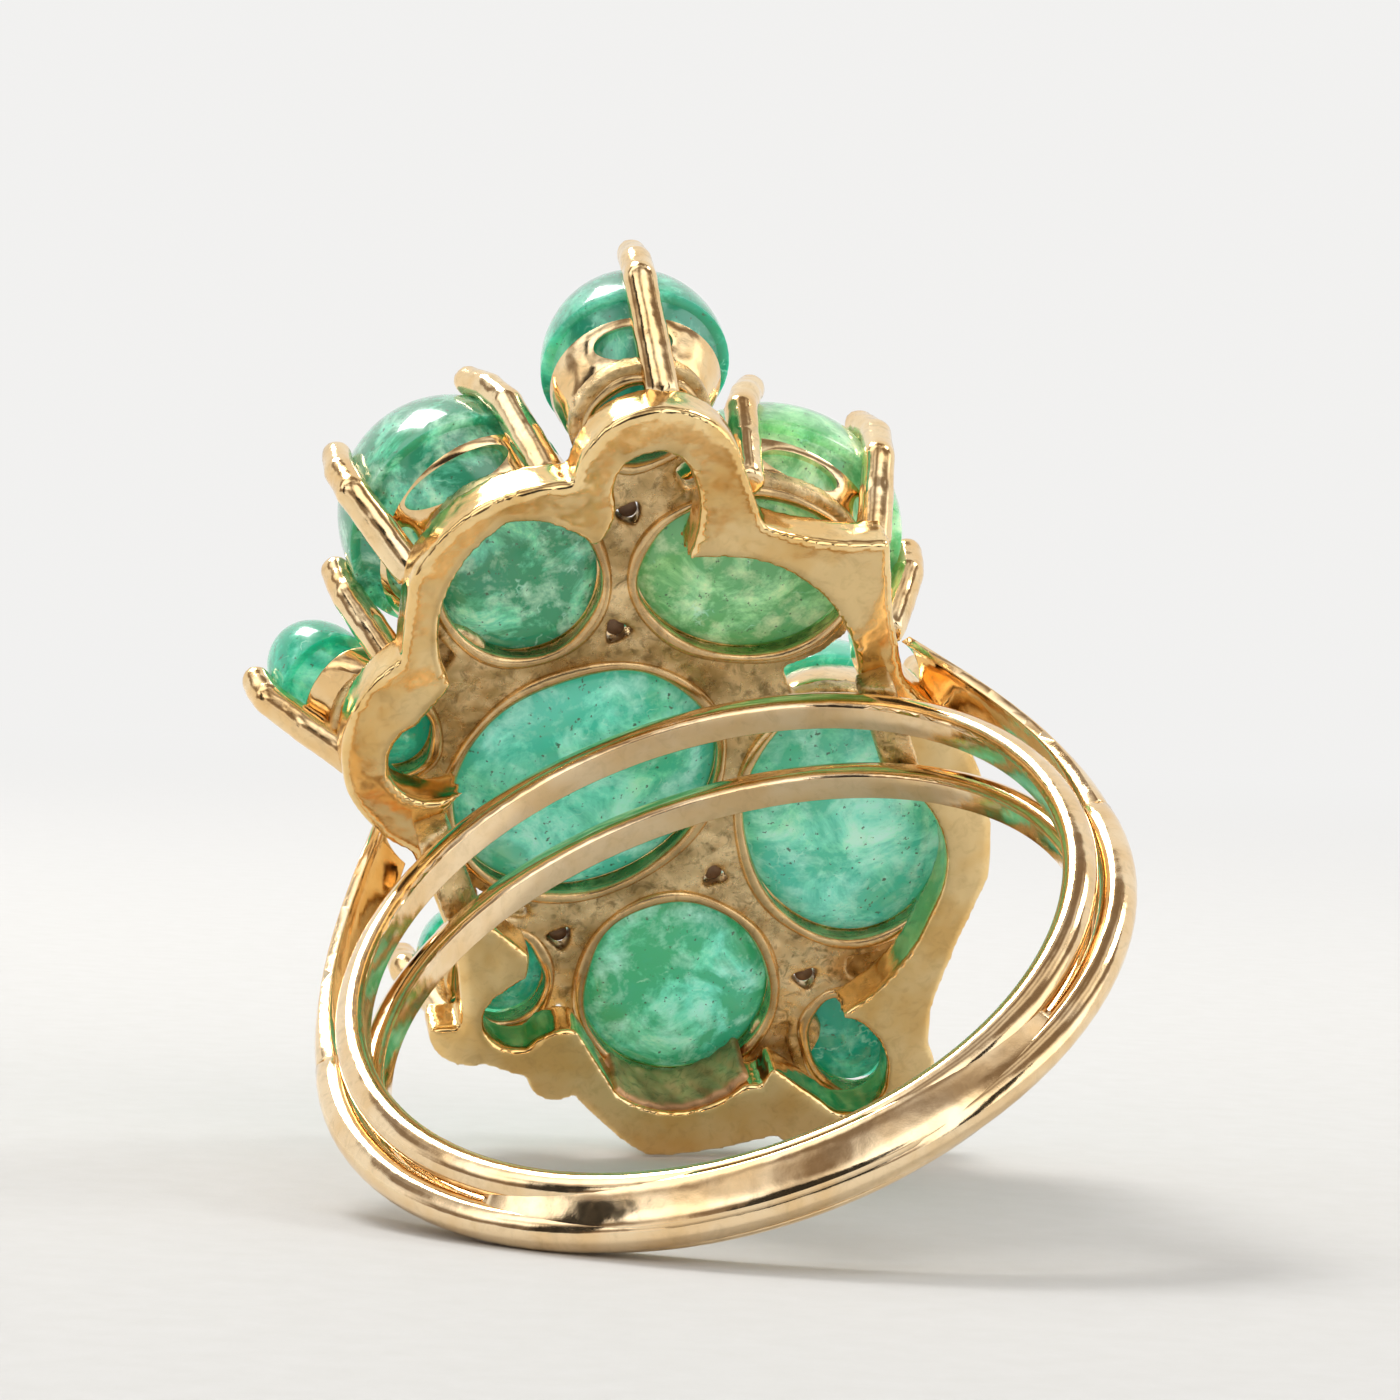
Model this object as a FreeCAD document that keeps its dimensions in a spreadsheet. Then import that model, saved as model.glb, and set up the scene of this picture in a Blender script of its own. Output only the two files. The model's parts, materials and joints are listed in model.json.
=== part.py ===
import FreeCAD
import Part
import math
import os

# Cocktail ring with nine cabochons in a raised cluster head.
#
# Every piece is designed on the upright ring: X runs across the head, Y runs along the finger
# and Z runs from the finger to the head, with the origin at the centre of the finger hole.
# Left and right are those of the ring seen from its front, with the head up.
# rest() then lays the finished ring down on its shank and the lower lobes of its gallery rail,
# the way it lies on a table. All lengths are millimetres and all angles degrees.

doc = FreeCAD.newDocument("cocktail_ring")
sheet = doc.addObject("Spreadsheet::Sheet", "sizes")
V = FreeCAD.Vector

SIZES = {
    # shank
    "finger_radius": 8.74,
    "finger_reach": 4.0,
    "hoop_radius": 9.07,
    "wire_radius": 0.46,
    "spread_at_head": 1.15,
    "spread_at_palm": 0.5,
    "outer_hoop_radius": 9.85,
    "outer_hoop_sweep": 192.0,
    "leaf_edge": 0.15,
    # head
    "rail_back": 8.5,
    "rail_depth": 1.3,
    "saddle_reach": 5.9,
    "saddle_width": 0.9,
    "saddle_length": 3.0,
    "plate_back": 10.2,
    "plate_depth": 0.6,
    "plate_rim": 0.5,
    "collet_drop": 0.6,
    "collet_wall": 0.24,
    "collet_foot": 0.45,
    "girdle_lean": 0.6,
    "stone_gap": 0.04,
    "belly_share": 0.27,
    "window_depth": 0.9,
    "window_height": 0.22,
    "window_level": 0.34,
    # prongs
    "prong_foot_radius": 0.42,
    "prong_tip_radius": 0.34,
    "prong_gap": 0.03,
    "bend_swell": 1.05,
    "knee_share": 0.55,
    "inner_prong_radius": 0.24,
    "inner_prong_height": 3.4,
    "piercing_radius": 0.5,
    "piercing_recess": 0.35,
    # the ring lying down
    "rest_spin": 37.62,
    "rest_tilt": 54.66,
    "rest_turn": 148.88,
    "rest_x": 1.340,
    "rest_y": -4.667,
    "rest_height": 6.169,
}

# One row for each stone. The hole is the opening behind it in the web plate (x, y, half length,
# half width, turn of the long axis). The girdle is its widest ellipse (x, y, z, half length,
# half width, turn), and the last number is the height of the dome above the girdle.
STONES = {
    "top": ((-2.35, 9.37, 1.32, 1.12, 0), (-2.66, 9.75, 12.4, 2.40, 2.30, 0), 2.9),
    "upper_right": ((1.79, 6.21, 2.36, 2.08, 90), (2.80, 7.10, 12.5, 3.20, 3.05, 90), 3.4),
    "upper_left": ((-3.67, 4.20, 2.84, 2.30, 30), (-4.76, 4.10, 12.5, 3.40, 3.00, 30), 3.5),
    "centre_right": ((1.91, -0.13, 3.66, 3.18, 161), (2.00, -0.15, 12.7, 3.80, 3.40, 161), 4.0),
    "centre_left": ((-4.16, -3.90, 3.70, 2.70, 90), (-4.45, -4.00, 12.5, 3.85, 3.00, 90), 3.8),
    "bottom": ((1.43, -7.16, 2.84, 2.53, 90), (1.45, -7.50, 12.3, 2.95, 2.75, 90), 3.2),
    "side_right": ((6.17, 3.07, 1.26, 1.07, 90), (7.40, 4.10, 12.1, 1.45, 1.35, 90), 1.9),
    "lower_right": ((5.70, -5.03, 1.42, 1.21, 90), (6.30, -5.70, 12.2, 1.65, 1.55, 90), 2.1),
    "lower_left": ((-2.50, -10.56, 1.62, 1.12, 90), (-2.80, -11.20, 12.2, 1.80, 1.55, 90), 2.2),
}
HOLE_FIELDS = ("hole_x", "hole_y", "hole_length", "hole_width", "hole_turn")
GIRDLE_FIELDS = ("x", "y", "z", "length", "width", "turn")

# Outer prongs: the foot on the gallery rail (x, y), the stone that the claw holds, the bearing
# of the claw on that stone's girdle, counted from +X towards +Y, and how many degrees of the
# dome's profile the claw wraps.
OUTER_PRONGS = {
    "top": ((-3.05, 10.10), "top", 108, 34),
    "top_right": ((0.25, 8.90), "upper_right", 126, 30),
    "top_left": ((-4.40, 7.00), "upper_left", 92, 26),
    "upper_right": ((4.25, 7.55), "upper_right", 46, 30),
    "upper_left": ((-7.00, 4.20), "upper_left", 158, 42),
    "right_shoulder": ((5.45, 5.25), "upper_right", 352, 16),
    "right": ((7.25, 2.90), "side_right", 22, 20),
    "left_shoulder": ((-6.65, 1.55), "upper_left", 214, 14),
    "left": ((-7.20, -2.10), "centre_left", 150, 26),
    "lower_left": ((-5.40, -7.40), "centre_left", 236, 26),
    "bottom_left": ((-3.65, -11.75), "lower_left", 232, 26),
    "bottom": ((-0.35, -10.85), "bottom", 248, 28),
    "bottom_right": ((3.45, -9.95), "bottom", 312, 28),
    "lower_right": ((7.20, -5.45), "lower_right", 20, 26),
    "far_right": ((5.95, -2.60), "centre_right", 342, 26),
}

# Windows in the collets, behind or between the prongs: the bearing and the half width.
WINDOWS = {
    "top": [(100, 1.0)],
    "upper_right": [(88, 1.5), (15, 1.1)],
    "upper_left": [(125, 1.1), (186, 1.0)],
    "centre_left": [(195, 1.2)],
    "bottom": [(280, 1.2)],
    "lower_right": [(320, 0.6)],
    "lower_left": [(200, 0.6), (280, 0.6)],
}

# Inner prongs stand in the three-cornered piercings between the stones (x, y, turn).
INNER_PRONGS = {
    "1": (-1.36, 6.99, 20),
    "2": (-0.11, 3.83, 200),
    "3": (-0.49, -4.19, 95),
    "4": (3.88, -4.49, 270),
    "5": (-1.93, -8.18, 150),
}

# Outlines of the gallery rail in plan, walked round from the notch beside the top lobe.
# ("to", x, y) is a straight run and ("via", x, y, x, y) is an arc through the first point.
RAIL_OUTSIDE = [
    (-4.45, 6.40),
    ("to", -4.40, 8.20),
    ("via", -2.60, 10.55, -0.30, 9.20),
    ("via", 2.20, 9.40, 4.40, 7.90),
    ("to", 5.20, 6.00),
    ("via", 7.55, 3.50, 6.60, 0.60),
    ("to", 6.40, -2.60),
    ("via", 6.65, -3.90, 7.00, -5.05),
    ("to", 7.80, -4.75),
    ("via", 7.75, -5.70, 6.80, -6.30),
    ("to", 5.80, -7.20),
    ("via", 5.65, -7.95, 4.80, -8.10),
    ("via", 4.35, -9.45, 3.55, -10.80),
    ("via", 1.90, -11.25, 0.10, -11.45),
    ("via", -2.60, -13.00, -4.45, -10.30),
    ("to", -4.80, -9.20),
    ("via", -6.00, -7.40, -7.25, -5.80),
    ("via", -7.80, -3.70, -7.70, -1.50),
    ("to", -6.70, 0.80),
    ("via", -6.90, 2.90, -7.35, 4.80),
    ("via", -6.00, 5.30, -4.45, 6.40),
]
RAIL_INSIDE = [
    (-2.40, 6.20),
    ("via", -5.10, 4.40, -5.60, 1.25),
    ("to", -5.95, -2.25),
    ("via", -6.45, -4.40, -5.50, -6.45),
    ("via", -4.40, -7.60, -2.50, -8.50),
    ("via", -3.30, -9.70, -3.15, -10.90),
    ("via", -2.20, -11.70, -1.35, -11.05),
    ("to", -0.35, -9.40),
    ("to", 0.05, -9.85),
    ("to", 0.45, -9.65),
    ("via", 2.20, -9.85, 3.80, -8.60),
    ("to", 4.20, -6.30),
    ("via", 4.90, -6.10, 5.50, -6.35),
    ("via", 6.45, -5.60, 5.66, -4.40),
    ("to", 4.95, -4.15),
    ("to", 4.70, -3.60),
    ("to", 5.45, -2.25),
    ("to", 5.75, 1.25),
    ("to", 4.60, 1.95),
    ("via", 6.50, 3.00, 5.40, 4.10),
    ("to", 4.30, 4.90),
    ("via", 3.70, 7.30, 1.60, 8.80),
    ("via", 0.60, 8.40, -0.30, 7.40),
    ("via", -0.75, 7.70, -1.10, 8.50),
    ("via", -2.20, 9.45, -3.20, 8.50),
    ("via", -3.05, 7.30, -2.40, 6.20),
]

# Stations of a shoulder leaf, from the wire up to the head: the distance from the ring's middle
# plane, the height, the half width, the bulge of the outer face, the sag of the inner face and
# the shift of the section along the finger.
LEAF = [
    (9.83, 1.00, 0.46, 0.40, 0.40, 0.00),
    (9.60, 3.20, 0.60, 0.34, 0.20, 0.00),
    (8.95, 5.40, 0.76, 0.28, 0.02, 0.08),
    (8.00, 7.50, 0.85, 0.22, -0.14, 0.32),
    (7.05, 9.45, 0.82, 0.18, -0.12, 0.60),
]

finished = []


def fill_sheet():
    """Write every driving size into the sheet as plain text, with its alias."""
    rows = dict(SIZES)
    for stone, (hole, girdle, dome) in STONES.items():
        rows.update({f"{stone}_{field}": value for field, value in zip(HOLE_FIELDS, hole)})
        rows.update({f"{stone}_{field}": value for field, value in zip(GIRDLE_FIELDS, girdle)})
        rows[f"{stone}_dome"] = dome
    for row, (alias, value) in enumerate(rows.items(), start=1):
        sheet.set(f"A{row}", alias)
        sheet.set(f"B{row}", str(value))
        sheet.setAlias(f"B{row}", alias)
    doc.recompute()


def size(alias):
    """The value of one cell of the sheet."""
    return float(sheet.get(alias))


def rest():
    """The placement that lays the upright ring down on the table."""
    spin = FreeCAD.Rotation(V(0, 1, 0), size("rest_spin"))
    tilt = FreeCAD.Rotation(V(1, 0, 0), size("rest_tilt"))
    turn = FreeCAD.Rotation(V(0, 0, 1), size("rest_turn"))
    place = V(size("rest_x"), size("rest_y"), size("rest_height"))
    return FreeCAD.Placement(place, turn.multiply(tilt).multiply(spin))


def add(kind, name, placement=None, **bound):
    """A document object whose properties follow expressions on the sheet."""
    thing = doc.addObject(kind, name)
    if placement is not None:
        thing.Placement = placement
    for prop, expression in bound.items():
        thing.setExpression(prop, expression)
    return thing


def cell(alias):
    """An expression that reads one cell of the sheet as millimetres."""
    return f"sizes.{alias} * 1 mm"


def finish(thing, label):
    """Name a finished sub-part and lay it down with the rest of the ring."""
    thing.Label = label
    thing.Placement = rest().multiply(thing.Placement)
    finished.append(thing)


def fuse(name, pieces):
    thing = doc.addObject("Part::MultiFuse", name)
    thing.Shapes = pieces
    return thing


def cut(name, base, tool):
    thing = doc.addObject("Part::Cut", name)
    thing.Base = base
    thing.Tool = tool
    return thing


def flat_placement(x, y, z, turn):
    """A horizontal plane at a point of the upright ring, turned about Z."""
    return FreeCAD.Placement(V(x, y, z), FreeCAD.Rotation(V(0, 0, 1), turn))


def hole_centre(stone):
    return V(size(f"{stone}_hole_x"), size(f"{stone}_hole_y"), size("plate_back"))


def girdle_centre(stone):
    return V(size(f"{stone}_x"), size(f"{stone}_y"), size(f"{stone}_z"))


def girdle_placement(stone):
    """The plane of a stone's girdle: it leans the way the stone is offset from its hole."""
    centre = girdle_centre(stone)
    offset = centre - hole_centre(stone)
    axis = V(offset.x * size("girdle_lean"), offset.y * size("girdle_lean"), offset.z)
    turn = math.radians(size(f"{stone}_turn"))
    along = V(math.cos(turn), math.sin(turn), 0)
    return FreeCAD.Placement(centre, FreeCAD.Rotation(along, V(0, 0, 0), axis, "ZXY"))


def ellipse(name, placement, length, width):
    return add("Part::Ellipse", name, placement, MajorRadius=length, MinorRadius=width)


def half_ellipsoid(name, placement, low, height, length, width):
    """Half of an ellipsoid: the upper half from 0 degrees, the lower half from -90 degrees."""
    half = add("Part::Ellipsoid", name, placement, Radius1=height, Radius2=length, Radius3=width)
    half.Angle1 = low
    half.Angle2 = low + 90
    return half


def seat_turn(stone):
    """The turn of the hole's axes that is nearest to the girdle's, so that no wall twists."""
    turn = size(f"{stone}_turn")
    return turn + (size(f"{stone}_hole_turn") - turn + 90) % 180 - 90


def taper(name, stone, sunk, foot, raised, inset):
    """A solid from a stone's hole at the front of the web plate to the stone's girdle."""
    centre = hole_centre(stone)
    front = centre.z + size("plate_depth") - sunk
    at = girdle_placement(stone)
    at.Base = at.multVec(V(0, 0, raised))
    low = ellipse(
        f"{name}_low",
        flat_placement(centre.x, centre.y, front, seat_turn(stone)),
        f"(sizes.{stone}_hole_length + {foot}) * 1 mm",
        f"(sizes.{stone}_hole_width + {foot}) * 1 mm",
    )
    high = ellipse(
        f"{name}_high",
        at,
        f"(sizes.{stone}_length - {inset}) * 1 mm",
        f"(sizes.{stone}_width - {inset}) * 1 mm",
    )
    loft = doc.addObject("Part::Loft", name)
    loft.Sections = [low, high]
    loft.Solid = True
    loft.Ruled = True
    return loft


def make_stone(stone):
    """A cabochon: a dome that rests on the collet, a tapered waist and a bulging back."""
    name = f"cabochon_{stone}"
    dome = half_ellipsoid(f"{name}_dome", girdle_placement(stone), 0, cell(f"{stone}_dome"),
                          cell(f"{stone}_length"), cell(f"{stone}_width"))
    waist = taper(f"{name}_waist", stone, 0, "-sizes.stone_gap", 0,
                  "sizes.collet_wall - sizes.stone_gap")
    centre = hole_centre(stone)
    seat = flat_placement(centre.x, centre.y, centre.z + size("plate_depth"), seat_turn(stone))
    back = half_ellipsoid(
        f"{name}_back", seat, -90,
        f"sizes.{stone}_hole_width * sizes.belly_share * 1 mm",
        f"(sizes.{stone}_hole_length - sizes.stone_gap) * 1 mm",
        f"(sizes.{stone}_hole_width - sizes.stone_gap) * 1 mm",
    )
    finish(fuse(name, [dome, waist, back]), name)


def make_window(name, stone, bearing, half_width):
    """A rounded tool that opens the wall of a collet between its foot and the girdle."""
    high = dome_point(stone, bearing, 0, 0)
    centre = hole_centre(stone)
    low = V(centre.x, centre.y, centre.z + size("plate_depth"))
    out = V(high.x - low.x, high.y - low.y, 0).normalize()
    swing = math.atan2(out.y, out.x) - math.radians(size(f"{stone}_hole_turn"))
    low = low + out / math.hypot(math.cos(swing) / size(f"{stone}_hole_length"),
                                 math.sin(swing) / size(f"{stone}_hole_width"))
    rise = high - low
    place = FreeCAD.Placement(low + rise * size("window_level"),
                              FreeCAD.Rotation(out, V(0, 0, 0), rise, "ZXY"))
    window = add("Part::Ellipsoid", name, place, Radius2=cell("window_depth"))
    window.Radius1 = rise.Length * size("window_height")
    window.Radius3 = half_width
    return window


def make_collet(stone):
    """The wall under one stone: a tapered cup, open behind the stone, with its windows."""
    name = f"collet_{stone}"
    outside = taper(f"{name}_outside", stone, 0, "sizes.collet_foot", -size("stone_gap"), "0")
    wall = size("collet_wall")
    tools = [taper(f"{name}_inside", stone, wall, "0", wall, "sizes.collet_wall")]
    for index, (bearing, half_width) in enumerate(WINDOWS.get(stone, [])):
        tools.append(make_window(f"{name}_window_{index}", stone, bearing, half_width))
    drop = size("collet_drop")
    above = girdle_placement(stone)
    above.Base = above.multVec(V(0, 0, -drop))
    trim = add("Part::Cylinder", f"{name}_trim", above,
               Radius=f"(sizes.{stone}_length + sizes.collet_foot) * 1 mm")
    trim.Height = 2 * drop
    tools.append(trim)
    finish(cut(name, outside, fuse(f"{name}_hollow", tools)), name)


def disc(name, stone, margin, low, depth):
    """An elliptical slab on a stone's hole, wider than the hole by the margin."""
    centre = hole_centre(stone)
    rim = ellipse(
        f"{name}_rim",
        flat_placement(centre.x, centre.y, low, size(f"{stone}_hole_turn")),
        f"(sizes.{stone}_hole_length + {margin}) * 1 mm",
        f"(sizes.{stone}_hole_width + {margin}) * 1 mm",
    )
    slab = doc.addObject("Part::Extrusion", name)
    slab.Base = rim
    slab.Dir = V(0, 0, 1)
    slab.DirMode = "Custom"
    slab.LengthFwd = depth
    slab.Solid = True
    return slab


def core_slab():
    """The middle of the web plate, a polygon through the centres of the outer stones' holes."""
    names = ["top", "upper_left", "centre_left", "lower_left", "bottom", "lower_right",
             "centre_right", "side_right", "upper_right"]
    outline = doc.addObject("Part::Polygon", "web_core_outline")
    outline.Nodes = [hole_centre(stone) for stone in names]
    outline.Close = True
    slab = doc.addObject("Part::Extrusion", "web_core")
    slab.Base = outline
    slab.Dir = V(0, 0, 1)
    slab.DirMode = "Custom"
    slab.setExpression("LengthFwd", cell("plate_depth"))
    slab.Solid = True
    return slab


def make_web_plate():
    """The pierced plate under the stones, with a hole behind each and five piercings."""
    low = size("plate_back")
    depth = size("plate_depth")
    rims = [disc(f"web_rim_{stone}", stone, "sizes.plate_rim", low, depth) for stone in STONES]
    holes = [disc(f"web_hole_{stone}", stone, "0", low - depth, 3 * depth) for stone in STONES]
    for name, (x, y, turn) in INNER_PRONGS.items():
        piercing = add(
            "Part::Prism",
            f"web_piercing_{name}",
            flat_placement(x, y, low - depth, turn),
            Circumradius=cell("piercing_radius"),
        )
        piercing.Polygon = 3
        piercing.Height = 3 * depth
        holes.append(piercing)
    finish(cut("web_plate", fuse("web_blank", rims + [core_slab()]), fuse("web_holes", holes)),
           "web_plate")


def outline(steps, z):
    """A closed wire in plan from straight runs and arcs."""
    here = V(steps[0][0], steps[0][1], z)
    edges = []
    for kind, *numbers in steps[1:] + [("to",) + steps[0]]:
        there = V(numbers[-2], numbers[-1], z)
        if kind == "via":
            edges.append(Part.Arc(here, V(numbers[0], numbers[1], z), there).toShape())
        elif (there - here).Length > 0.001:
            edges.append(Part.makeLine(here, there))
        here = there
    return Part.Wire(edges)


def slab(name, steps):
    """A solid of the gallery rail's depth on an outline."""
    wire = doc.addObject("Part::Feature", f"{name}_outline")
    wire.Shape = outline(steps, size("rail_back"))
    solid = doc.addObject("Part::Extrusion", name)
    solid.Base = wire
    solid.Dir = V(0, 0, 1)
    solid.DirMode = "Custom"
    solid.setExpression("LengthFwd", cell("rail_depth"))
    solid.Solid = True
    return solid


def make_gallery_rail():
    """The scalloped rail that arches round every outer stone."""
    rail = cut("gallery_rail", slab("rail_outside", RAIL_OUTSIDE), slab("rail_inside", RAIL_INSIDE))
    finish(rail, "gallery_rail")


def make_saddle(label, side):
    """A block between the gallery rail and the two hoops, hollowed to sit on them."""
    width, length = size("saddle_width"), size("saddle_length")
    corner = V(side * size("saddle_reach") - width / 2, -length / 2, 0)
    block = add("Part::Box", f"{label}_block", FreeCAD.Placement(corner, FreeCAD.Rotation()),
                Length=cell("saddle_width"), Width=cell("saddle_length"), Height=cell("rail_back"))
    turn = FreeCAD.Rotation(V(1, 0, 0), -90)
    tool = add("Part::Cylinder", f"{label}_hollow", FreeCAD.Placement(V(0, -length, 0), turn),
               Radius="(sizes.hoop_radius + sizes.wire_radius) * 1 mm")
    tool.Height = 2 * length
    finish(cut(label, block, tool), label)


def dome_point(stone, bearing_degrees, wrap_degrees, clear):
    """A point beside a stone's dome: wrap counts up its profile from the girdle."""
    bearing, wrap = math.radians(bearing_degrees), math.radians(wrap_degrees)
    at = girdle_placement(stone)
    local = at.Rotation.inverted().multVec(V(math.cos(bearing), math.sin(bearing), 0))
    flat = math.hypot(local.x, local.y)
    unit_x, unit_y = local.x / flat, local.y / flat
    radius = 1 / math.hypot(unit_x / size(f"{stone}_length"), unit_y / size(f"{stone}_width"))
    height = size(f"{stone}_dome")
    normal = V(math.cos(wrap) / radius, math.sin(wrap) / height, 0).normalize()
    reach = radius * math.cos(wrap) + clear * normal.x
    return at.multVec(V(unit_x * reach, unit_y * reach, height * math.sin(wrap) + clear * normal.y))


def claw_path(foot, stone, bearing, wrap):
    """Points of a prong: its foot on the rail, the girdle of the stone and the claw over it."""
    clear = size("prong_tip_radius") + size("prong_gap")
    start = V(foot[0], foot[1], size("rail_back") + size("rail_depth"))
    beside, above, tip = (dome_point(stone, bearing, share * wrap, clear) for share in (0, 0.5, 1))
    knee = start + (beside - start) * size("knee_share")
    return [start, knee, beside, above, tip]


def tapered_wire(name, points, first, last):
    """A round wire through the points, built of cones joined by balls."""
    pieces = []
    count = len(points) - 1
    for index, (here, there) in enumerate(zip(points, points[1:])):
        near = f"({first} + ({last} - {first}) * {index} / {count}) * 1 mm"
        far = f"({first} + ({last} - {first}) * {index + 1} / {count}) * 1 mm"
        turn = FreeCAD.Rotation(V(0, 0, 1), there - here)
        cone = add("Part::Cone", f"{name}_run_{index}", FreeCAD.Placement(here, turn),
                   Radius1=near, Radius2=far)
        cone.Height = (there - here).Length
        pieces.append(cone)
        joint = add("Part::Sphere", f"{name}_bend_{index}",
                    FreeCAD.Placement(there, FreeCAD.Rotation()), Radius=f"{far} * sizes.bend_swell")
        pieces.append(joint)
    return fuse(name, pieces)


def make_outer_prong(name, foot, stone, bearing, wrap):
    label = f"prong_{name}"
    points = claw_path(foot, stone, bearing, wrap)
    finish(tapered_wire(label, points, "sizes.prong_foot_radius", "sizes.prong_tip_radius"), label)


def make_inner_prong(name, x, y):
    """A straight prong that stands in a piercing of the web plate and ends in a bead."""
    label = f"inner_prong_{name}"
    low = size("plate_back") + size("piercing_recess")
    points = [V(x, y, low), V(x, y, low + size("inner_prong_height"))]
    radius = "sizes.inner_prong_radius"
    finish(tapered_wire(label, points, radius, radius), label)


def hoop_ring(name, side):
    """One inner wire: a hoop tilted so that the pair runs together at the palm."""
    head, palm = size("spread_at_head"), size("spread_at_palm")
    tilt = math.degrees(math.asin((head - palm) / 2 / size("hoop_radius")))
    level = FreeCAD.Rotation(V(1, 0, 0), 90)
    turn = FreeCAD.Rotation(V(1, 0, 0), -side * tilt).multiply(level)
    middle = V(0, side * (head + palm) / 2, 0)
    return add("Part::Torus", name, FreeCAD.Placement(middle, turn),
               Radius1=cell("hoop_radius"), Radius2=cell("wire_radius"))


def finger_bore(name):
    """The finger hole, which files the inner face of both hoops flat."""
    reach = size("finger_reach")
    turn = FreeCAD.Rotation(V(1, 0, 0), -90)
    bore = add("Part::Cylinder", name, FreeCAD.Placement(V(0, -reach, 0), turn),
               Radius=cell("finger_radius"))
    bore.Height = 2 * reach
    return bore


def make_hoop(label, side):
    finish(cut(label, hoop_ring(f"{label}_wire", side), finger_bore(f"{label}_bore")), label)


def make_outer_hoop():
    """The middle wire, which lies in the groove between the two hoops round the palm."""
    sweep = size("outer_hoop_sweep")
    level = FreeCAD.Rotation(V(1, 0, 0), 90)
    start = FreeCAD.Rotation(V(0, 1, 0), 90 + sweep / 2)
    wire = add("Part::Torus", "outer_hoop", FreeCAD.Placement(V(), start.multiply(level)),
               Radius1=cell("outer_hoop_radius"), Radius2=cell("wire_radius"),
               Angle3="sizes.outer_hoop_sweep * 1 deg")
    finish(wire, "outer_hoop")


def leaf_section(side, station, before, after):
    """One cross-section of a shoulder leaf: bulged outside and hollow inside."""
    across, height, half, bulge, sag, shift = station
    run = V(side * (after[0] - before[0]), 0, after[1] - before[1]).normalize()
    outward = V(run.z, 0, -run.x) * side
    middle = V(side * across, shift, height)
    edge = size("leaf_edge")
    corner = [middle + V(0, y, 0) + outward * o for y, o in
              ((-half, edge), (half, edge), (half, -edge), (-half, -edge))]
    outer = Part.Arc(corner[0], middle + outward * bulge, corner[1]).toShape()
    inner = Part.Arc(corner[2], middle - outward * sag, corner[3]).toShape()
    return Part.Wire([outer, Part.makeLine(corner[1], corner[2]), inner,
                      Part.makeLine(corner[3], corner[0])])


def make_leaf(label, side):
    """A shoulder leaf, where the middle wire opens into a broad channel under the head."""
    ends = [LEAF[0]] + LEAF + [LEAF[-1]]
    sections = [leaf_section(side, here, before, after)
                for before, here, after in zip(ends, LEAF, ends[2:])]
    thing = doc.addObject("Part::Feature", label)
    thing.Shape = Part.makeLoft(sections, True, False)
    finish(thing, label)


def check(thing):
    """Stop when a sub-part is missing, broken or not made of closed solids."""
    shape = thing.Shape
    if shape.isNull() or not shape.isValid() or not shape.Solids:
        raise RuntimeError(f"{thing.Label} has no valid shape")


def build():
    fill_sheet()
    for stone in STONES:
        make_stone(stone)
        make_collet(stone)
    make_web_plate()
    make_gallery_rail()
    for name, (foot, stone, bearing, wrap) in OUTER_PRONGS.items():
        make_outer_prong(name, foot, stone, bearing, wrap)
    for name, (x, y, _) in INNER_PRONGS.items():
        make_inner_prong(name, x, y)
    make_hoop("hoop_front", 1)
    make_hoop("hoop_back", -1)
    make_outer_hoop()
    make_saddle("saddle_right", 1)
    make_saddle("saddle_left", -1)
    make_leaf("shoulder_leaf_right", 1)
    make_leaf("shoulder_leaf_left", -1)
    doc.recompute()


def export():
    for thing in doc.Objects:
        if "Invalid" in thing.State or "Error" in thing.State:
            raise RuntimeError(f"{thing.Name} failed: {thing.State}")
    os.makedirs("parts", exist_ok=True)
    for thing in finished:
        check(thing)
        thing.Shape.exportStep(f"parts/{thing.Label}.step")
        print(f"{thing.Label}: {thing.Shape.Volume:.2f} mm3, {len(thing.Shape.Solids)} solid(s)")


build()
export()
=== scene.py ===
import json
import math

import bmesh
import bpy
from mathutils import Matrix, Vector

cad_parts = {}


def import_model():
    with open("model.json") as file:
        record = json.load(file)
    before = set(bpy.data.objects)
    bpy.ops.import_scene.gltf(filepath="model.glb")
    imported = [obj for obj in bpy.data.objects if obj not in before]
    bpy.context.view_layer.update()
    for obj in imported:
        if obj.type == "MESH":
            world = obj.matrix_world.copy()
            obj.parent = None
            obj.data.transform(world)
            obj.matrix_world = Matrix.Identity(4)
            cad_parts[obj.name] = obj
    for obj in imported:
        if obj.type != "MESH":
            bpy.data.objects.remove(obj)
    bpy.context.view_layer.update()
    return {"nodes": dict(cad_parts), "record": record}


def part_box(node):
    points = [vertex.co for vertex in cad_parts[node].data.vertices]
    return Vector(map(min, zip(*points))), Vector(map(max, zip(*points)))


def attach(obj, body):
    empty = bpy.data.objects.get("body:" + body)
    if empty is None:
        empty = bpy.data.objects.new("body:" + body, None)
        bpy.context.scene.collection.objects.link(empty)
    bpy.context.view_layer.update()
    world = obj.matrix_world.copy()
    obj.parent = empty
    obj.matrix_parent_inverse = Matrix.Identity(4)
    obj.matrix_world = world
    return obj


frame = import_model()
NODES = frame["nodes"]
MM = 0.001


def nodes_named(prefix):
    """The names of the CAD nodes that start with a prefix."""
    return sorted(name for name in NODES if name.startswith(prefix))


STONES = nodes_named("cabochon_")
COLLETS = nodes_named("collet_")
PRONGS = nodes_named("prong_")
INNER_PRONGS = nodes_named("inner_prong_")
SADDLES = ["saddle_right", "saddle_left"]
SHANK = ["hoop_front", "hoop_back", "outer_hoop", "shoulder_leaf_right", "shoulder_leaf_left"]


# ---------------------------------------------------------------- the ring's frame

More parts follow.
